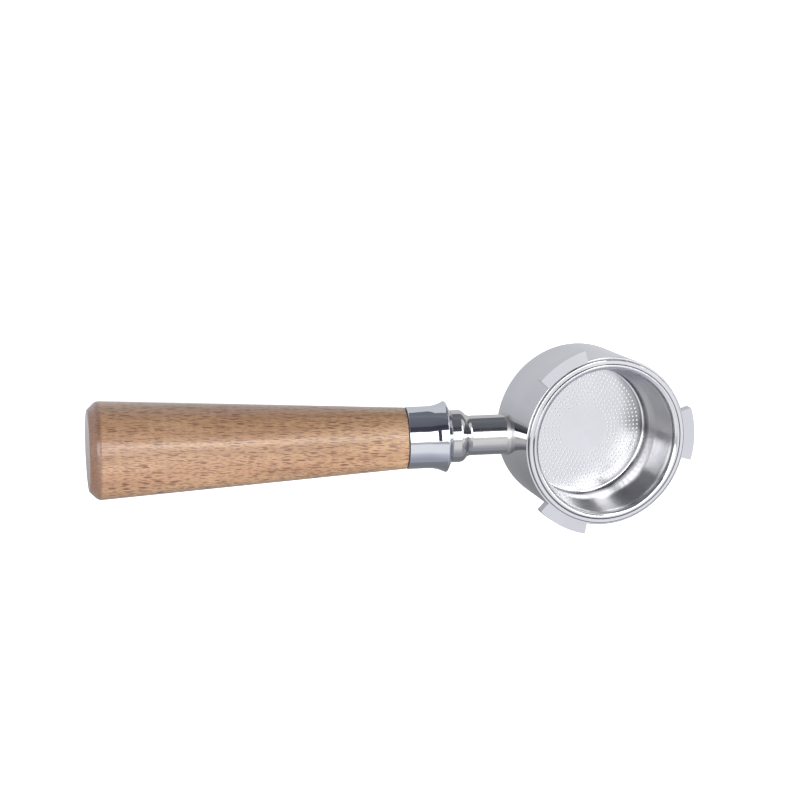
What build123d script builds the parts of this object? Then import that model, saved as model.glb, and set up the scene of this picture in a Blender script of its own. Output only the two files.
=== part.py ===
"""Three-lug portafilter with a lift-out filter basket and a turned wooden handle, in millimetres.

+Z is the basket axis, mouth up; the handle runs to -X and droops. The origin is the centre of the basket floor.
"""

import os
from math import asin, atan2, cos, degrees, pi, radians, sin, sqrt, tan

from build123d import *

# Overall
overall_length = 230.0  # butt of the handle to the tip of the front lug
bore_d = 51.0  # straight bore of the basket, the tamper size
droop_deg = 10.5  # handle axis below the mouth plane

# Filter basket, pressed from sheet
sheet = 0.5
basket_depth = 24.6  # floor to the crown of the lip
bore_height = 11.0  # straight wall above the floor
mouth_flare = 2.6  # the wall's spread from the straight bore to the lip
lip_width = 1.9
lip_rise = 0.4  # lip above the flange
flange_width = 2.0
hem_width = 1.3  # folded edge of the flange
hem_thickness = 0.95
hem_round = 0.4
hem_root_round = 0.1
floor_round = 0.8
lip_round = 1.3
flare_blend = 12.0  # soft bends where the flare starts and ends
fold_round = 0.3
hole_r = 0.33
hole_pitch = 1.6
hole_field_inner_r = 9.6
hole_field_margin = 2.1  # bare edge of the floor

# Body ring
rim_band = 0.8  # rim outside the basket flange
wall_draft = 1.1
seat_gap = 0.05  # basket hem above the rim
body_height = 35.25
bore_clearance = 0.3  # basket wall to body bore
lug_count = 3
lug_reach = 4.1
lug_thickness = 4.2
lug_width_deg = 32.8
edge_break = 0.3
base_round = 0.9

# Basket spring
wire_r = 0.55
spring_height = 7.0  # above the basket floor
spring_gap = 0.3  # wire to the basket wall at its waves
spring_waves = 3
points_per_wave = 12
spring_opening_deg = 14.0
groove_depth = 1.0
groove_clearance = 0.05

# Stem, turned and welded to the ring
neck_height = 9.925  # its axis above the ring's lower edge, at the wall
neck_r = 7.7
neck_length = 14.5
cove_length = 4.6  # S-shaped rise from the neck to the collar
collar_step = 2.4  # collar proud of the neck
collar_length = 3.3
weld_reach = 1.5  # bead along the neck
weld_rise = 0.35  # bead proud of the neck

# Stud and threaded insert
stud_r = 5.0
stud_seat = 8.0  # stud length inside the stem
stud_clearance = 0.3
stud_end_gap = 2.0  # short of the bottom of the insert
stud_chamfer = 1.0
insert_wall = 2.0
insert_length = 26.0
insert_flange_step = 1.4
insert_flange = 1.2

# Ferrule
ferrule_length = 17.0
ferrule_r = 12.0
flare_length = 8.9  # front of the ferrule to the foot of the trumpet
flare_curve = 13.2  # radius of the trumpet curve
flare_nose = 1.9  # the flare's edge to the ferrule's front
flare_round = 0.7

# Washer between the ferrule and the wood
washer_thickness = 0.4
washer_recess = 0.35

# Wooden handle
grip_front_r = 11.85
grip_butt_r = 18.95
butt_face_r = 15.6
chamfer_length = 3.5
butt_round = 1.4
shoulder_round = 2.8
tenon_wall = 1.0  # wood round the insert's flange
tenon_length = 6.0
tenon_clearance = 0.1

# Tolerance for picking an edge by its radius
match = 0.01

# Derived radii
bore_r = bore_d / 2
mouth_r = bore_r + mouth_flare
lip_outer_r = mouth_r + lip_width
flange_r = lip_outer_r + flange_width
rim_r = flange_r + rim_band
base_r = rim_r - wall_draft
body_bore_r = mouth_r + sheet + bore_clearance
lug_r = rim_r + lug_reach
hole_field_outer_r = bore_r - hole_field_margin
collar_r = neck_r + collar_step
insert_r = stud_r + insert_wall
insert_flange_r = insert_r + insert_flange_step
tenon_r = insert_flange_r + tenon_wall
socket_r = tenon_r + tenon_clearance

# Derived heights along the basket axis
droop = radians(droop_deg)
flange_z = basket_depth - lip_rise
hem_z = flange_z - hem_thickness
rim_z = hem_z - seat_gap
base_z = rim_z - body_height
axis_z = base_z + neck_height + base_r * tan(droop)  # handle axis on the basket axis

# Derived stations along the handle axis, from the basket axis
neck_end = base_r + neck_length
collar_start = neck_end + cove_length
cove_turn = 2 * atan2(collar_step, cove_length)
cove_r = cove_length / (2 * sin(cove_turn))
wall_core = base_r / 2  # well inside the ring, cut away with its envelope
collar_end = collar_start + collar_length
stud_start = collar_end - stud_seat
ferrule_end = collar_end + ferrule_length
grip_start = ferrule_end + washer_thickness
insert_start = grip_start - tenon_length
insert_end = insert_start + insert_length
stud_end = insert_end - stud_end_gap
socket_start = insert_start - tenon_clearance
butt_turn = atan2(chamfer_length, grip_butt_r - butt_face_r)
butt_arc_r = butt_face_r - butt_round * tan(butt_turn / 2)
butt_reach = overall_length - lug_r - butt_round - butt_arc_r * sin(droop)
butt_s = butt_reach / cos(droop) + butt_round
shoulder_s = butt_s - chamfer_length

# Drawing planes
section = Plane.XZ
handle_section = Plane(
    origin=(0, 0, axis_z),
    x_dir=(-cos(droop), 0, -sin(droop)),
    z_dir=(0, 1, 0),
)
handle_axis = Axis((0, 0, axis_z), (-cos(droop), 0, -sin(droop)))


def corner_arc(before, corner, after, radius):
    """Start, middle and end of the arc that rounds a corner."""
    a = (Vector(*before) - Vector(*corner)).normalized()
    b = (Vector(*after) - Vector(*corner)).normalized()
    half = radians(a.get_angle(b)) / 2
    reach = radius * cos(half) / sin(half)
    centre = Vector(*corner) + (a + b).normalized() * (radius / sin(half))
    middle = centre - (a + b).normalized() * radius
    return Vector(*corner) + a * reach, middle, Vector(*corner) + b * reach


def rounded_line(points, radii):
    """Open line through the points, each inner corner rounded by its own radius."""
    start = Vector(*points[0])
    for i in range(1, len(points) - 1):
        if radii[i] > 0:
            entry, middle, leave = corner_arc(*points[i - 1 : i + 2], radii[i])
            Line(start, entry)
            ThreePointArc(entry, middle, leave)
            start = leave
        else:
            Line(start, points[i])
            start = Vector(*points[i])
    Line(start, points[-1])


def rounded_loop(points, radii):
    """Closed line through the points; the first corner stays sharp."""
    rounded_line([*points, points[0]], [*radii, 0])


def ring_counts(inner, outer, pitch):
    """Radius and hole count of each ring of the perforated field."""
    rings = round((outer - inner) / pitch)
    step = (outer - inner) / rings
    radii = [inner + step * (i + 0.5) for i in range(rings)]
    return [(r, int(2 * pi * r / pitch)) for r in radii]


# Basket: a pressed cup with a flare, a raised lip and a hemmed flange
inner_path = [
    (0, 0),
    (bore_r, 0),
    (bore_r, bore_height),
    (mouth_r, basket_depth - 2 * lip_round),
    (mouth_r, basket_depth),
    (lip_outer_r, basket_depth),
    (lip_outer_r + lip_rise, flange_z),
    (flange_r, flange_z),
]
flange_under_z = flange_z - sheet
outer_path = [
    (0, -sheet),
    (bore_r + sheet, -sheet),
    (bore_r + sheet, bore_height),
    (mouth_r + sheet, basket_depth - 2 * lip_round),
    (mouth_r + sheet, flange_under_z),
    (flange_r - hem_width, flange_under_z),
    (flange_r - hem_width, hem_z),
    (flange_r, hem_z),
]
inner_radii = [0, floor_round, flare_blend, flare_blend, lip_round, lip_rise, lip_rise / 2, 0]
outer_radii = [0, floor_round + sheet, flare_blend, flare_blend, fold_round, hem_root_round, 0, 0]

with BuildPart() as basket:
    with BuildSketch(section):
        with BuildLine():
            rounded_line(inner_path, inner_radii)
            rounded_line(outer_path, outer_radii)
            Line(inner_path[0], outer_path[0])
            Line(inner_path[-1], outer_path[-1])
        make_face()
    revolve(axis=Axis.Z)
    hem_edges = basket.edges().filter_by(GeomType.CIRCLE).filter_by(
        lambda e: abs(e.radius - flange_r) < match
    )
    fillet(hem_edges, hem_round)
    with BuildSketch(Plane.XY):
        for ring_r, count in ring_counts(hole_field_inner_r, hole_field_outer_r, hole_pitch):
            with PolarLocations(ring_r, count):
                Circle(hole_r)
    extrude(amount=-2 * sheet, both=True, mode=Mode.SUBTRACT)
basket.part.label = "basket"

# Body ring: tapered wall, bore with a spring groove, and bayonet lugs
groove_half = wire_r + groove_clearance
body_path = [
    (body_bore_r, base_z),
    (base_r, base_z),
    (rim_r, rim_z),
    (body_bore_r, rim_z),
    (body_bore_r, spring_height + groove_half),
    (body_bore_r + groove_depth, spring_height + groove_half),
    (body_bore_r + groove_depth, spring_height - groove_half),
    (body_bore_r, spring_height - groove_half),
]
half_lug = radians(lug_width_deg / 2)
wedge_length = lug_r / cos(half_lug)
with BuildSketch(Plane.XY.offset(rim_z)) as wedges:
    with PolarLocations(0, lug_count):
        Polygon(
            (0, 0),
            (wedge_length * cos(half_lug), -wedge_length * sin(half_lug)),
            (lug_r + lug_reach, 0),
            (wedge_length * cos(half_lug), wedge_length * sin(half_lug)),
            align=None,
        )

with BuildPart() as lugs:
    with BuildSketch(Plane.XY.offset(rim_z)):
        Circle(lug_r)
        Circle(body_bore_r + groove_depth, mode=Mode.SUBTRACT)
        add(wedges.sketch, mode=Mode.INTERSECT)
    extrude(amount=-lug_thickness)
    outer_corners = lugs.edges().filter_by(Axis.Z).filter_by(
        lambda e: e.center().X ** 2 + e.center().Y ** 2 > rim_r**2
    )
    fillet(outer_corners, edge_break)

with BuildPart() as body:
    with BuildSketch(section):
        with BuildLine():
            rounded_loop(body_path, [0, base_round, edge_break, edge_break, 0, 0, 0, 0])
        make_face()
    revolve(axis=Axis.Z)
    add(lugs.part)
body.part.label = "body"

# Filled outline of the body ring, used to cut what is welded to it
with BuildPart() as envelope:
    with BuildSketch(section):
        with BuildLine():
            Polyline((0, base_z), (base_r, base_z), (rim_r, rim_z), (0, rim_z), close=True)
        make_face()
    revolve(axis=Axis.Z)

# Stem: saddle-cut neck, cove and collar, tapped for the stud
with BuildPart() as stem:
    with BuildSketch(handle_section):
        with BuildLine():
            Polyline(
                (wall_core, 0),
                (wall_core, neck_r),
                (neck_end, neck_r),
            )
            CenterArc((neck_end, neck_r + cove_r), cove_r, -90, degrees(cove_turn))
            CenterArc((collar_start, collar_r - cove_r), cove_r, 90, degrees(cove_turn))
            rounded_line(
                [
                    (collar_start, collar_r),
                    (collar_end, collar_r),
                    (collar_end, stud_r),
                    (stud_start, stud_r),
                    (stud_start, 0),
                    (wall_core, 0),
                ],
                [0, edge_break, 0, 0, 0, 0],
            )
        make_face()
    revolve(axis=handle_axis)
    add(envelope.part, mode=Mode.SUBTRACT)
stem.part.label = "stem"

# Weld bead: follows the saddle between neck and body
with BuildPart() as neck_bar:
    with BuildSketch(handle_section):
        Rectangle(collar_start, neck_r, align=(Align.MIN, Align.MIN))
    revolve(axis=handle_axis)

with BuildPart() as weld_bead:
    with BuildSketch(section):
        with BuildLine():
            Polyline(
                (wall_core, base_z),
                (base_r + weld_reach, base_z),
                (rim_r + weld_reach, rim_z),
                (wall_core, rim_z),
                close=True,
            )
        make_face()
    revolve(axis=Axis.Z)
    with BuildSketch(handle_section):
        Rectangle(collar_start, neck_r + weld_rise, align=(Align.MIN, Align.MIN))
    revolve(axis=handle_axis, mode=Mode.INTERSECT)
    add(envelope.part, mode=Mode.SUBTRACT)
    add(neck_bar.part, mode=Mode.SUBTRACT)
weld_bead.part.label = "weld_bead"

# Stud
with BuildPart() as stud:
    with BuildSketch(handle_section):
        with BuildLine():
            Polyline(
                (stud_start, 0),
                (stud_start, stud_r),
                (stud_end - stud_chamfer, stud_r),
                (stud_end, stud_r - stud_chamfer),
                (stud_end, 0),
                close=True,
            )
        make_face()
    revolve(axis=handle_axis)
stud.part.label = "stud"

# Ferrule: turned cap that flares like a trumpet towards the collar
flare_start = collar_end + flare_length
flare_s = collar_end + flare_nose
flare_run = flare_start - flare_s
flare_r = ferrule_r + flare_curve - sqrt(flare_curve**2 - flare_run**2)
with BuildPart() as ferrule:
    with BuildSketch(handle_section):
        with BuildLine():
            Line((flare_start, ferrule_r), (ferrule_end, ferrule_r))
            Line((ferrule_end, ferrule_r), (ferrule_end, socket_r))
            Line((ferrule_end, socket_r), (socket_start, socket_r))
            Line((socket_start, socket_r), (socket_start, stud_r + stud_clearance))
            Line((socket_start, stud_r + stud_clearance), (collar_end, stud_r + stud_clearance))
            Line((collar_end, stud_r + stud_clearance), (collar_end, collar_r))
            Line((collar_end, collar_r), (flare_s, flare_r))
            CenterArc(
                (flare_start, ferrule_r + flare_curve),
                flare_curve,
                -90,
                -degrees(asin(flare_run / flare_curve)),
            )
        make_face()
    revolve(axis=handle_axis)
    circles = ferrule.edges().filter_by(GeomType.CIRCLE).sort_by(SortBy.RADIUS)
    fillet(circles[-1], flare_round)
    rear_rim = circles.filter_by(lambda e: abs(e.radius - ferrule_r) < match)
    fillet(rear_rim.sort_by(lambda e: e.center().X)[0], edge_break)
ferrule.part.label = "ferrule"

# Washer between ferrule and wood
with BuildPart() as seat_washer:
    with BuildSketch(handle_section):
        with Locations((ferrule_end, socket_r)):
            Rectangle(
                washer_thickness,
                ferrule_r - washer_recess - socket_r,
                align=(Align.MIN, Align.MIN),
            )
    revolve(axis=handle_axis)
seat_washer.part.label = "seat_washer"

# Wooden handle: straight cone with a chamfered butt and a tenon for the ferrule
with BuildPart() as handle:
    with BuildSketch(handle_section):
        with BuildLine():
            rounded_loop(
                [
                    (butt_s, 0),
                    (butt_s, butt_face_r),
                    (shoulder_s, grip_butt_r),
                    (grip_start, grip_front_r),
                    (grip_start, tenon_r),
                    (insert_start, tenon_r),
                    (insert_start, insert_flange_r),
                    (insert_start + insert_flange, insert_flange_r),
                    (insert_start + insert_flange, insert_r),
                    (insert_end, insert_r),
                    (insert_end, 0),
                ],
                [0, butt_round, shoulder_round, edge_break, 0, 0, 0, 0, 0, 0, 0],
            )
        make_face()
    revolve(axis=handle_axis)
handle.part.label = "handle"

# Threaded insert in the wood
with BuildPart() as insert:
    with BuildSketch(handle_section):
        with BuildLine():
            Polyline(
                (insert_start, stud_r),
                (insert_start, insert_flange_r),
                (insert_start + insert_flange, insert_flange_r),
                (insert_start + insert_flange, insert_r),
                (insert_end, insert_r),
                (insert_end, stud_r),
                close=True,
            )
        make_face()
    revolve(axis=handle_axis)
insert.part.label = "insert"

# Basket spring: open wire ring that waves in from the groove to the basket wall
seated_r = body_bore_r + groove_depth - groove_clearance - wire_r
waved_r = bore_r + sheet + spring_gap + wire_r
wave_depth = (seated_r - waved_r) / 2
span = 360 - spring_opening_deg
steps = points_per_wave * spring_waves
with BuildPart() as spring:
    with BuildLine() as wire_path:
        points = []
        for i in range(steps + 1):
            turn = radians(spring_opening_deg / 2 + span * i / steps)
            r = seated_r - wave_depth * (1 - cos(2 * pi * spring_waves * i / steps))
            points.append((r * cos(turn), r * sin(turn), spring_height))
        Spline(*points)
    with BuildSketch(Plane(wire_path.line @ 0, z_dir=wire_path.line % 0)):
        Circle(wire_r)
    sweep(path=wire_path.line)
spring.part.label = "spring"

os.makedirs("parts", exist_ok=True)
for item in (
    basket,
    body,
    stem,
    weld_bead,
    stud,
    ferrule,
    seat_washer,
    handle,
    insert,
    spring,
):
    export_step(item.part, f"parts/{item.part.label}.step")
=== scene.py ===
"""Looks for the portafilter: materials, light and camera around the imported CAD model, in metres."""

import math

import bpy
import numpy as np
from mathutils import Matrix, Vector

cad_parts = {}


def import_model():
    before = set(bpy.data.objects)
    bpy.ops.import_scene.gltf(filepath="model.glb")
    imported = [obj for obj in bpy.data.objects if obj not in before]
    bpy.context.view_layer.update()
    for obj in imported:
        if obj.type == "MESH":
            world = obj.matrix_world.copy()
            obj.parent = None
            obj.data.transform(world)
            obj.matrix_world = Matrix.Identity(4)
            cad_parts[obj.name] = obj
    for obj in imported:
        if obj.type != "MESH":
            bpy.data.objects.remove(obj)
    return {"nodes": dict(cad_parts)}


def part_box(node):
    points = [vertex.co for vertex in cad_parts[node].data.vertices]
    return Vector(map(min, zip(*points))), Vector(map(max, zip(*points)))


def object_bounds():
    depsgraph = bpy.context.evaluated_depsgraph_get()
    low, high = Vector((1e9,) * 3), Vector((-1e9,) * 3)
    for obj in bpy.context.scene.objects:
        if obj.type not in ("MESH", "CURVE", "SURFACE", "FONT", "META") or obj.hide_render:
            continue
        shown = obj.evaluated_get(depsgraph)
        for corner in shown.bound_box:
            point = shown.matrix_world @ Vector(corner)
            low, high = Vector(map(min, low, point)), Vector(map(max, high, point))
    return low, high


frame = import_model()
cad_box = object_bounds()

MM = 0.001
WHITE = (1.0, 1.0, 1.0)
nodes = frame["nodes"]


# Places taken from the frame
def ring_axis(name):
    """Centre and axis of a thin flat ring, the axis pointing towards +X."""
    points = np.array([v.co for v in nodes[name].data.vertices], float)
    centre = (points.min(0) + points.max(0)) / 2
    axis = np.linalg.svd(points - points.mean(0), full_matrices=False)[2][2]
    return Vector(centre), Vector(axis * np.sign(axis[0]))


def grip_shoulder():
    """Distance from the seat washer to the grip's widest place, the edge of its end chamfer."""
    points = np.array([v.co for v in nodes["handle"].data.vertices], float) - np.array(washer_centre)
    along = points @ -np.array(grip_axis)
    radius = np.linalg.norm(points + np.outer(along, np.array(grip_axis)), axis=1)
    return along[radius.argmax()]


washer_centre, grip_axis = ring_axis("seat_washer")
droop = math.atan2(grip_axis.z, grip_axis.x)
shoulder = grip_shoulder()
ring_low, ring_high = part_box("body")
basket_low, basket_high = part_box("basket")
lowest = cad_box[0].z


# Node helpers
class Nodes:
    """A node tree with short calls to add and join nodes."""

    def __init__(self, tree):
        self.tree = tree

    def node(self, kind, **values):
        made = self.tree.nodes.new(kind)
        for key, value in values.items():
            setattr(made, key, value)
        return made

    def link(self, out, into):
        self.tree.links.new(out, into)

    def feed(self, socket, value):
        """Puts a number or colour on a socket, or joins another node's output to it."""
        if isinstance(value, (int, float)):
            socket.default_value = value
        elif isinstance(value, tuple):
            socket.default_value = (*value, 1)
        else:
            self.link(value, socket)

    def split(self, vector):
        """X, Y and Z of a vector."""
        made = self.node("ShaderNodeSeparateXYZ")
        self.link(vector, made.inputs["Vector"])
        return made.outputs["X"], made.outputs["Y"], made.outputs["Z"]

    def mapping(self, vector, location=(0, 0, 0), rotation=(0, 0, 0), scale=(1, 1, 1)):
        made = self.node("ShaderNodeMapping")
        made.inputs["Location"].default_value = location
        made.inputs["Rotation"].default_value = rotation
        made.inputs["Scale"].default_value = scale
        self.link(vector, made.inputs["Vector"])
        return made.outputs["Vector"]

    def noise(self, vector, scale, detail=2.0, roughness=0.5, distortion=0.0):
        made = self.node("ShaderNodeTexNoise")
        made.inputs["Scale"].default_value = scale
        made.inputs["Detail"].default_value = detail
        made.inputs["Roughness"].default_value = roughness
        made.inputs["Distortion"].default_value = distortion
        self.link(vector, made.inputs["Vector"])
        return made.outputs["Fac"]

    def ramp(self, value, stops):
        """Colour ramp; stops are (position, grey or colour), none below zero."""
        made = self.node("ShaderNodeValToRGB")
        elements = made.color_ramp.elements
        while len(elements) < len(stops):
            elements.new(0.5)
        for element, (position, colour) in zip(elements, stops):
            element.position = position
            shade = (colour,) * 3 if isinstance(colour, (int, float)) else colour
            element.color = (*shade, 1)
        self.link(value, made.inputs["Fac"])
        return made.outputs["Color"]

    def math(self, operation, *values, clamp=False):
        made = self.node("ShaderNodeMath", operation=operation, use_clamp=clamp)
        for socket, value in zip(made.inputs, values):
            self.feed(socket, value)
        return made.outputs["Value"]

    def product(self, first, *others):
        for other in others:
            first = self.math("MULTIPLY", first, other)
        return first

    def step(self, value, start, end):
        """0 at start and 1 at end, straight between them and level past them."""
        return self.math("DIVIDE", self.math("SUBTRACT", value, start), end - start, clamp=True)

    def mix(self, factor, a, b, blend="MIX"):
        made = self.node("ShaderNodeMix", data_type="RGBA", blend_type=blend)
        for socket, value in zip((made.inputs[0], made.inputs[6], made.inputs[7]), (factor, a, b)):
            self.feed(socket, value)
        return made.outputs[2]


class Shader(Nodes):
    """A material on one Principled shader."""

    def __init__(self, name):
        self.material = bpy.data.materials.new(name)
        self.material.use_nodes = True
        super().__init__(self.material.node_tree)
        self.bsdf = next(n for n in self.tree.nodes if n.type == "BSDF_PRINCIPLED")

    def set(self, **values):
        for key, value in values.items():
            self.bsdf.inputs[key.replace("_", " ")].default_value = value

    def drive(self, name, value):
        self.link(value, self.bsdf.inputs[name])

    def coords(self, rotation=(0, 0, 0), location=(0, 0, 0)):
        """Object coordinates in metres, moved and turned."""
        source = self.node("ShaderNodeTexCoord")
        return self.mapping(source.outputs["Object"], location, rotation)

    def radius(self, vector):
        """Distance from the local Z axis."""
        x, y, _ = self.split(vector)
        squares = [self.math("POWER", side, 2.0) for side in (x, y)]
        return self.math("SQRT", self.math("ADD", *squares))

    def bump(self, height, strength, distance):
        made = self.node("ShaderNodeBump")
        made.inputs["Strength"].default_value = strength
        made.inputs["Distance"].default_value = distance
        self.link(height, made.inputs["Height"])
        self.drive("Normal", made.outputs["Normal"])


# Metals: noise as (scale per metre, detail, roughness), and the part of its range that shows
SMEAR_NOISE = (90, 5.0, 0.6)
SMEAR_LOW, SMEAR_HIGH = 0.35, 0.7
TONE_NOISE = (35, 3.0)
TONE_LOW, TONE_HIGH = 0.3, 0.7
TONE_DARK = 0.93
LINE_NOISE = (1.0, 3.0, 0.7)
LINE_DEPTH = 0.02 * MM
LINES_PER_M = 4000.0
ACROSS_LINES = 0.25  # a quarter turn of the anisotropy


def metal(name, colour, roughness, wear=0.04, line_bump=0.0, anisotropic=0.0, zones=None, rings=None):
    """Metal with faint smears in its roughness and colour, and turning lines if asked for.

    Zones are (height, shade, added roughness) along Z, for faces finished in different ways; on the
    basket their low shades are painted shade.
    Rings are (radius, shade), for dark lines of painted shade round creases.
    """
    shader = Shader(name)
    shader.set(Metallic=1.0, Anisotropic=anisotropic)
    vector = shader.coords()
    smear = shader.noise(vector, *SMEAR_NOISE)
    rough = shader.ramp(smear, [(SMEAR_LOW, roughness), (SMEAR_HIGH, roughness + wear)])
    dark = tuple(c * TONE_DARK for c in colour)
    tint = shader.ramp(shader.noise(vector, *TONE_NOISE), [(TONE_LOW, dark), (TONE_HIGH, colour)])
    # Shade by height: the body's machined top, and painted shade on the basket's wall, its foot and the
    # crease under the lip
    if zones:
        low, high = zones[0][0], zones[-1][0]
        z = shader.split(vector)[2]
        height = shader.math("DIVIDE", shader.math("SUBTRACT", z, low), high - low)
        places = [(place - low) / (high - low) for place, _, _ in zones]
        shade = shader.ramp(height, [(p, zone[1]) for p, zone in zip(places, zones)])
        added = shader.ramp(height, [(p, zone[2]) for p, zone in zip(places, zones)])
        tint = shader.mix(1.0, tint, shade, "MULTIPLY")
        rough = shader.math("ADD", rough, added)
    # Painted shade: dark lines at the given radii
    if rings:
        reach = rings[-1][0]
        outwards = shader.math("DIVIDE", shader.radius(vector), reach)
        shade = shader.ramp(outwards, [(r / reach, value) for r, value in rings])
        tint = shader.mix(1.0, tint, shade, "MULTIPLY")
    shader.drive("Base Color", tint)
    shader.drive("Roughness", rough)
    if line_bump:
        across = shader.node("ShaderNodeCombineXYZ")
        shader.link(shader.math("MULTIPLY", shader.radius(vector), LINES_PER_M), across.inputs["X"])
        shader.bump(shader.noise(across.outputs["Vector"], *LINE_NOISE), line_bump, LINE_DEPTH)
    return shader


def spun(shader):
    """Lays the turning lines of a metal round the Z axis, so highlights stretch across them."""
    shader.set(Anisotropic_Rotation=ACROSS_LINES)
    tangent = shader.node("ShaderNodeTangent", direction_type="RADIAL", axis="Z")
    shader.drive("Tangent", tangent.outputs["Tangent"])
    return shader


# Beech: colours, then noise as above, stretched along the grip by the first number of its scale
BEECH_LIGHT = (0.62, 0.385, 0.222)
BEECH_MIDDLE = (0.53, 0.31, 0.168)
BEECH_DARK = (0.41, 0.23, 0.122)
BEECH_ROSY = (0.45, 0.24, 0.14)
FLECK = (0.13, 0.05, 0.022)
END_DARK = (0.13, 0.062, 0.04)
END_LIGHT = (0.29, 0.15, 0.098)
GRAIN_SCALE, PATCH_SCALE, PORE_SCALE = (0.06, 1, 1), (0.3, 1, 1), (0.25, 1, 1)
BAND_NOISE = (150, 3.0, 0.55, 0.4)
BAND_TONES = [(0.33, BEECH_DARK), (0.5, BEECH_MIDDLE), (0.66, BEECH_LIGHT)]
PATCH_NOISE = (45, 2.0, 0.5)
PATCH_SHARES = [(0.4, 0.0), (0.62, 0.55)]
FIBRE_NOISE = (1500, 3.0, 0.65)
FIBRE_TONES, FIBRE_MIX = [(0.3, 0.8), (0.62, 1.0)], 0.75
FIBRE_ROUGHNESS = [(0.3, 0.48), (0.7, 0.38)]
PORE_NOISE = (2600, 2.0, 0.6)
PORE_TONES, PORE_MIX = [(0.33, 0.72), (0.44, 1.0)], 0.7
END_NOISE = (1300, 4.0, 0.7)
END_TONES, END_MIX = [(0.3, END_DARK), (0.7, END_LIGHT)], 0.8
END_FADE = 1.0 * MM
VARNISH_ROUGHNESS = 0.16
GRAIN_BUMP, GRAIN_DEPTH = 0.3, 0.05 * MM

# Ray flecks: cell length, thickness and depth, the share of cells that hold one, seed and strength
FLECK_LAYERS = [
    ((6.0 * MM, 0.62 * MM, 1.5 * MM), 0.5, 0.0, 1.0),
    ((4.4 * MM, 0.42 * MM, 1.0 * MM), 0.8, 7.3, 0.9),
    ((2.6 * MM, 0.3 * MM, 0.7 * MM), 0.75, 3.1, 0.7),
]
FLECK_SIZE = 0.4  # of its cell
FLECK_CORE = 0.7  # of its size
FLECK_FAINTEST = 0.5
RAY_TURN = math.radians(26)  # about the grip, so that the rays show edge-on at its upper front
RAY_SLOPE = math.radians(2)


def flecks(shader, along, cell, share, seed):
    """Thin ray plates, one in a share of the cells, each of its own strength."""
    turned = shader.mapping(along, rotation=(RAY_TURN, 0, RAY_SLOPE))
    scaled = shader.mapping(turned, scale=tuple(1 / side for side in cell))
    cells = shader.node("ShaderNodeTexVoronoi", feature="F1")
    cells.inputs["Scale"].default_value = 1.0
    cells.inputs["Randomness"].default_value = 1.0
    shader.link(shader.mapping(scaled, location=(seed, seed, seed)), cells.inputs["Vector"])
    inside = shader.ramp(cells.outputs["Distance"], [(FLECK_SIZE * FLECK_CORE, 1.0), (FLECK_SIZE, 0.0)])
    pick = shader.node("ShaderNodeSeparateColor")
    shader.link(cells.outputs["Color"], pick.inputs["Color"])
    kept = shader.math("LESS_THAN", pick.outputs["Red"], share)
    strength = shader.math("MULTIPLY", pick.outputs["Green"], 1.0 - FLECK_FAINTEST)
    return shader.product(inside, kept, shader.math("ADD", strength, FLECK_FAINTEST))


def beech():
    """Beech: straight grain, short dark ray flecks, soft growth bands and a darker end grain."""
    shader = Shader("beech")
    along = shader.coords(rotation=(0, droop, 0))
    grain = shader.mapping(along, scale=GRAIN_SCALE)
    bands = shader.noise(grain, *BAND_NOISE)
    patches = shader.noise(shader.mapping(along, scale=PATCH_SCALE), *PATCH_NOISE)
    fibres = shader.noise(grain, *FIBRE_NOISE)
    pores = shader.noise(shader.mapping(along, scale=PORE_SCALE), *PORE_NOISE)
    colour = shader.ramp(bands, BAND_TONES)
    colour = shader.mix(shader.ramp(patches, PATCH_SHARES), colour, BEECH_ROSY)
    colour = shader.mix(FIBRE_MIX, colour, shader.ramp(fibres, FIBRE_TONES), "MULTIPLY")
    colour = shader.mix(PORE_MIX, colour, shader.ramp(pores, PORE_TONES), "MULTIPLY")
    marks = 0.0
    for cell, share, seed, strength in FLECK_LAYERS:
        layer = flecks(shader, along, cell, share, seed)
        marks = shader.math("MAXIMUM", marks, shader.math("MULTIPLY", layer, strength))
    colour = shader.mix(marks, colour, FLECK)

    # End grain on the chamfer and butt
    turned_centre = Matrix.Rotation(droop, 4, "Y") @ washer_centre
    past = shader.math("SUBTRACT", turned_centre.x - shoulder, shader.split(along)[0])
    end = shader.ramp(shader.math("DIVIDE", past, END_FADE), [(0.0, 0.0), (1.0, 1.0)])
    end_grain = shader.ramp(shader.noise(along, *END_NOISE), END_TONES)
    colour = shader.mix(shader.math("MULTIPLY", end, END_MIX), colour, end_grain)
    shader.drive("Base Color", colour)
    shader.drive("Roughness", shader.ramp(fibres, FIBRE_ROUGHNESS))
    shader.set(Coat_Weight=1.0, Coat_Roughness=VARNISH_ROUGHNESS)
    shader.bump(shader.math("SUBTRACT", fibres, marks), GRAIN_BUMP, GRAIN_DEPTH)
    return shader


WASHER_NOISE = (2500, 4.0, 0.7)
WASHER_TONES = [(0.3, (0.02, 0.016, 0.014)), (0.75, (0.07, 0.055, 0.045))]
WASHER_BUMP, WASHER_DEPTH = 0.4, 0.05 * MM


def fibre():
    """Dark fibre washer."""
    shader = Shader("washer_fibre")
    speck = shader.noise(shader.coords(), *WASHER_NOISE)
    shader.drive("Base Color", shader.ramp(speck, WASHER_TONES))
    shader.set(Roughness=0.8)
    shader.bump(speck, WASHER_BUMP, WASHER_DEPTH)
    return shader


# Zones, as metal() takes them: the ring's machined top
BODY_ZONES = [
    (ring_low.z, 1.0, 0.0),
    (ring_high.z - 0.1 * MM, 1.0, 0.0),
    (ring_high.z - 0.02 * MM, 1.05, 0.05),
]
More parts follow.
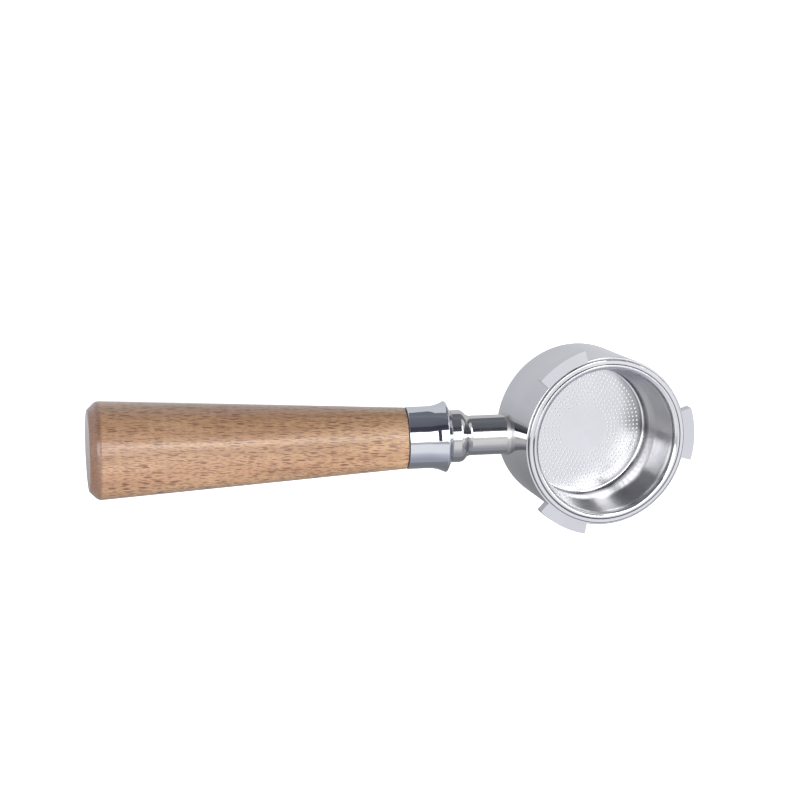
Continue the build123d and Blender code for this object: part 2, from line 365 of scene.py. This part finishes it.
# The basket's floor, the foot of its wall, wall, crease under the lip, and lip; the low shades on the
# foot, wall and crease are painted shade
BASKET_ZONES = [
    (basket_low.z, 1.0, 0.03),
    (0.3 * MM, 1.0, 0.03),
    (1.2 * MM, 0.12, 0.07),
    (3.5 * MM, 0.2, 0.07),
    (5.5 * MM, 0.6, 0.07),
    (basket_high.z - 2.6 * MM, 0.6, 0.07),
    (basket_high.z - 2.0 * MM, 0.16, 0.05),
    (basket_high.z - 1.3 * MM, 0.16, 0.05),
    (basket_high.z - 0.9 * MM, 1.0, 0.0),
    (basket_high.z, 1.0, 0.0),
]
CREASE = basket_high.x - 1.75 * MM  # foot of the lip on the flange
# Rings, as metal() takes them: that crease, and the lip's edge, darkened as painted shade lines
BASKET_SHADE_RINGS = [
    (0.0, 1.0),
    (CREASE - 0.35 * MM, 1.0),
    (CREASE - 0.15 * MM, 0.2),
    (CREASE + 0.15 * MM, 0.2),
    (CREASE + 0.3 * MM, 1.0),
    (basket_high.x - 0.4 * MM, 1.0),
    (basket_high.x - 0.1 * MM, 0.4),
    (basket_high.x, 0.4),
]
BODY_STEEL, STEM_STEEL, STUD_STEEL = (0.64, 0.64, 0.665), (0.62, 0.61, 0.6), (0.5, 0.5, 0.52)
WELD_STEEL, SPRING_STEEL, BASKET_STEEL = (0.6, 0.59, 0.58), (0.5, 0.5, 0.5), (0.74, 0.74, 0.76)
CHROME, BRASS = (0.66, 0.68, 0.72), (0.78, 0.58, 0.28)


def basket_steel():
    """Spun steel, with painted shade darkening the drawn wall and the creases."""
    return spun(
        metal(
            "basket_steel",
            BASKET_STEEL,
            roughness=0.12,
            wear=0.05,
            line_bump=0.12,
            anisotropic=0.7,
            zones=BASKET_ZONES,
            rings=BASKET_SHADE_RINGS,
        )
    )


finishes = {
    "body": metal("body_steel", BODY_STEEL, roughness=0.07, zones=BODY_ZONES),
    "weld_bead": metal("weld", WELD_STEEL, roughness=0.3, wear=0.15),
    "stem": metal("stem_steel", STEM_STEEL, roughness=0.09),
    "stud": metal("stud_steel", STUD_STEEL, roughness=0.3),
    "ferrule": metal("ferrule_chrome", CHROME, roughness=0.05),
    "seat_washer": fibre(),
    "handle": beech(),
    "insert": metal("insert_brass", BRASS, roughness=0.3),
    "spring": metal("spring_steel", SPRING_STEEL, roughness=0.25),
    "basket": basket_steel(),
}
for name, finish in finishes.items():
    nodes[name].data.materials.clear()
    nodes[name].data.materials.append(finish.material)


# Camera
VIEW_RIGHT = Vector((0.94466, -0.00695, 0.32797))
VIEW_BACK = Vector((-0.31885, 0.21562, 0.92295))
CAMERA_PLACE = Vector((-500.8, 305.0, 1231.3)) * MM
SENSOR_MM, LENS_MM = 36.0, 157.5
view_back = VIEW_BACK.normalized()
view_up = view_back.cross(VIEW_RIGHT).normalized()
view_right = view_up.cross(view_back)

# Floor
STAGE_HALF = 6
FLOOR_NOISE = (40, 3.0)
FLOOR_TONES = [(0.3, 0.79), (0.7, 0.81)]
SHADE_PLACE = -VIEW_BACK * (-lowest / VIEW_BACK.z)  # where the table shows through the basket's holes, the centre of a painted shadow
SHADE_UNIT = 100 * MM
SHADE_TONES = [(0.2, 0.42), (0.36, 0.75)]  # the floor's own light, by distance from that place, dimmed near it as a painted shadow

# Card that mirror finishes see over the floor: tones from near to far, then slate past a slanting edge
CARD_LIFT = 0.1 * MM
CARD_TONES_PER_M, CARD_TONES_MIDDLE = 5.0, 0.5
CARD_TONES = [
    (0.0, (0.23, 0.24, 0.25)),
    (0.28, (0.27, 0.28, 0.29)),
    (0.42, (0.43, 0.44, 0.46)),
    (0.6, (0.68, 0.69, 0.73)),
    (0.8, (0.76, 0.77, 0.8)),
]
SLATE = (0.17, 0.18, 0.215)
SLATE_EDGE, SLATE_SLANT, SLATE_BLUR = -45 * MM, 3.0, 4 * MM
SLATE_NEAREST, SLATE_FARTHEST = 72 * MM, 141 * MM

# Reflected studio, in bands by angle above the view axis: degrees and colour
SOFTBOX = (4.4, 4.4, 4.4)
STUDIO_BANDS = [
    (-180, (0.42, 0.43, 0.49)),
    (-88, (0.44, 0.45, 0.53)),
    (-68, (0.68, 0.7, 0.78)),
    (-56, (1.04, 1.05, 1.09)),
    (-30, (1.08, 1.08, 1.1)),
    (-23, (0.55, 0.55, 0.6)),
    (-19, (0.55, 0.55, 0.6)),
    (-15, SOFTBOX),
    (18, SOFTBOX),
    (21, (0.06, 0.06, 0.085)),
    (39, (0.06, 0.06, 0.085)),
    (43, (0.15, 0.16, 0.19)),
    (90, (0.21, 0.225, 0.26)),
    (96, (0.8, 0.81, 0.86)),
    (180, (0.95, 0.95, 0.98)),
]
# Soft light on wood and fibre, by the same angle
DIFFUSE_BANDS = [(-180, 0.2), (-110, 0.4), (-35, 1.7), (10, 1.3), (40, 0.1), (120, 0.03), (180, 0.06)]
EDGE_BLUR = math.radians(2)
# Sideways places below are sines of the angle to the right of the view axis
SQUEEZE_START, SQUEEZE_END, SQUEEZE = 0.29, 0.36, 0.8  # the bands close up towards the right
# Taller softbox at the right
RIGHT_BOX_START, RIGHT_BOX_END, RIGHT_BOX_FADE = 0.37, 0.6, 0.03
RIGHT_BOX_LOW, RIGHT_BOX_HIGH = math.radians(-6), math.radians(52)
# Dark gap in the strip softbox, left of the view axis
GAP_START, GAP_END, GAP_FADE = -0.1, -0.34, 0.02
GAP_LOW, GAP_HIGH = math.radians(-18), math.radians(22)
GAP_TONE = (0.06, 0.06, 0.08)
# Scrim round the zenith, so that faces which look up keep their detail from above
SCRIM_FULL, SCRIM_END = 0.98, 0.976  # cosines of the angle off the zenith
SCRIM_START, SCRIM_FADE = 0.31, 0.01
SCRIM_TONE = (0.95, 0.955, 0.98)


def stage_sheet(name, height):
    """Wide level sheet under the object, unseen by soft light."""
    mesh = bpy.data.meshes.new(name)
    half = STAGE_HALF
    corners = [(-half, -half), (half, -half), (half, half), (-half, half)]
    mesh.from_pydata([(x, y, height) for x, y in corners], [], [(0, 1, 2, 3)])
    made = bpy.data.objects.new(name, mesh)
    made.visible_diffuse = False
    bpy.context.scene.collection.objects.link(made)
    return made


def floor():
    """Pale floor, with a painted shadow under the cup; mirror finishes see the studio card just above
    it instead.
    """
    made = stage_sheet("floor", lowest)
    shader = Shader("floor")
    shader.set(Roughness=0.9, Emission_Color=(*WHITE, 1))
    shader.drive("Base Color", shader.ramp(shader.noise(shader.coords(), *FLOOR_NOISE), FLOOR_TONES))
    # Painted shadow: the floor's own light is dimmed round the place under the cup
    under = shader.radius(shader.coords(location=(-SHADE_PLACE.x, -SHADE_PLACE.y, 0)))
    shade = shader.ramp(shader.math("DIVIDE", under, SHADE_UNIT), SHADE_TONES)
    shader.drive("Emission Strength", shade)
    made.data.materials.append(shader.material)
    made.visible_glossy = False


def glossy_card():
    """Grey card that only reflections see; its far edge steps back to the left."""
    made = stage_sheet("glossy_card", lowest + CARD_LIFT)
    shader = Shader("glossy_card")
    x, y, _ = shader.split(shader.coords())
    level = shader.math("ADD", shader.math("MULTIPLY", y, CARD_TONES_PER_M), CARD_TONES_MIDDLE)
    near = shader.ramp(level, CARD_TONES)
    slant = shader.math("SUBTRACT", SLATE_EDGE, shader.math("MULTIPLY", x, SLATE_SLANT))
    edge = shader.math("MINIMUM", shader.math("MAXIMUM", slant, SLATE_NEAREST), SLATE_FARTHEST)
    past = shader.math("DIVIDE", shader.math("SUBTRACT", y, edge), SLATE_BLUR)
    tone = shader.mix(shader.ramp(past, [(0.0, 0.0), (1.0, 1.0)]), near, SLATE)
    shader.set(Base_Color=(0, 0, 0, 1), Roughness=1.0, Emission_Strength=1.0)
    shader.drive("Emission Color", tone)
    made.data.materials.append(shader.material)
    made.visible_camera = False
    made.visible_shadow = False


def camera():
    """Long lens, looking down into the basket with the handle to the left."""
    data = bpy.data.cameras.new("camera")
    data.sensor_width = SENSOR_MM
    data.lens = LENS_MM
    made = bpy.data.objects.new("camera", data)
    turn = Matrix((view_right, view_up, view_back)).transposed().to_4x4()
    made.matrix_world = Matrix.Translation(CAMERA_PLACE) @ turn
    bpy.context.scene.collection.objects.link(made)
    bpy.context.scene.camera = made


def world():
    """Studio round the object: a strip softbox overhead, a dark flag behind it, pale walls below."""
    made = bpy.data.worlds.new("studio")
    made.use_nodes = True
    sky = Nodes(made.node_tree)
    background = next(n for n in sky.tree.nodes if n.type == "BACKGROUND")
    coords = sky.node("ShaderNodeTexCoord")

    def towards(direction):
        """Cosine of the angle between the ray and a direction."""
        dot = sky.node("ShaderNodeVectorMath", operation="DOT_PRODUCT")
        sky.link(coords.outputs["Generated"], dot.inputs[0])
        dot.inputs[1].default_value = direction
        return dot.outputs["Value"]

    def bands(angle, stops):
        """Colour by an angle, from stops in degrees."""
        turn = sky.math("DIVIDE", angle, 2 * math.pi)
        level = sky.math("ADD", turn, 0.5, clamp=True)
        return sky.ramp(level, [(degrees / 360 + 0.5, colour) for degrees, colour in stops])

    def between(value, start, end, fade):
        """1 between start and end, fading inside both."""
        inwards = math.copysign(fade, end - start)
        return sky.product(sky.step(value, start, start + inwards), sky.step(value, end, end - inwards))

    angle = sky.math("ARCTAN2", towards(view_up), towards(view_back))
    side = towards(view_right)
    squeeze = sky.product(sky.step(side, SQUEEZE_START, SQUEEZE_END), SQUEEZE)
    studio = bands(sky.product(angle, sky.math("ADD", squeeze, 1.0)), STUDIO_BANDS)
    box = sky.product(
        between(side, RIGHT_BOX_START, RIGHT_BOX_END, RIGHT_BOX_FADE),
        between(angle, RIGHT_BOX_LOW, RIGHT_BOX_HIGH, EDGE_BLUR),
    )
    studio = sky.mix(box, studio, SOFTBOX)
    gap = sky.product(
        between(side, GAP_START, GAP_END, GAP_FADE),
        between(angle, GAP_LOW, GAP_HIGH, EDGE_BLUR),
    )
    studio = sky.mix(gap, studio, GAP_TONE)
    scrim = sky.product(
        sky.step(towards((0, 0, 1)), SCRIM_END, SCRIM_FULL),
        sky.step(side, SCRIM_START, SCRIM_START + SCRIM_FADE),
    )
    studio = sky.mix(scrim, studio, SCRIM_TONE)
    path = sky.node("ShaderNodeLightPath")
    seen = sky.mix(path.outputs["Is Diffuse Ray"], studio, bands(angle, DIFFUSE_BANDS))
    seen = sky.mix(path.outputs["Is Camera Ray"], seen, WHITE)
    sky.link(seen, background.inputs["Color"])
    background.inputs["Strength"].default_value = 1.0
    bpy.context.scene.world = made


floor()
glossy_card()
world()
camera()
bpy.context.scene.view_settings.view_transform = "Standard"
